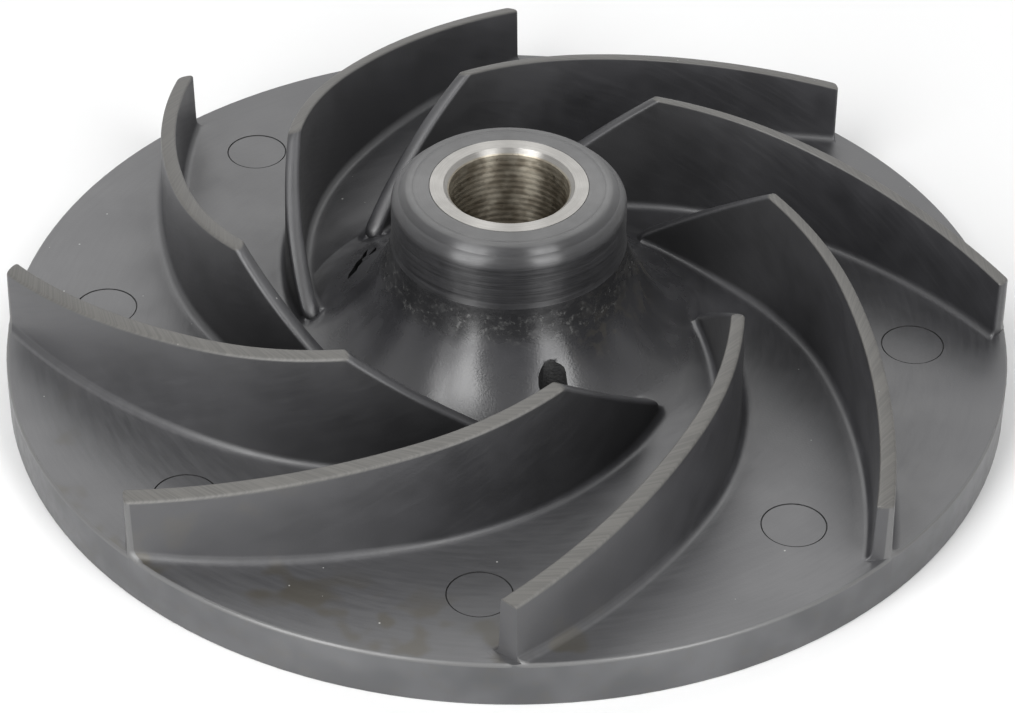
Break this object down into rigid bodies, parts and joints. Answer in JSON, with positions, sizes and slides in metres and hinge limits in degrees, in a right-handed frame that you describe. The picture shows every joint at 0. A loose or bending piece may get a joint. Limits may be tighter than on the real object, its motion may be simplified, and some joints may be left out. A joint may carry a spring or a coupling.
{
  "type": "pump impeller",
  "caption": "Open radial pump impeller: moulded disc with swept-back blades and a flared hub, on a steel bush with a plain bore.",
  "frame": {"origin": "centre of the flat underside, on the shaft axis", "axes": "+Z along the shaft axis towards the hub nose; one blade tip lies on +Y"},
  "size_m": [0.135, 0.135, 0.03],
  "materials": {
    "black_plastic": "satin moulded black plastic, turned bright-grey on the rim, blade tops and neck",
    "turned_steel": "turned steel, face bright, bore slightly browned"
  },
  "bodies": {
    "root": {"impeller": "black_plastic", "steel_bush": "turned_steel"}
  },
  "joints": []
}
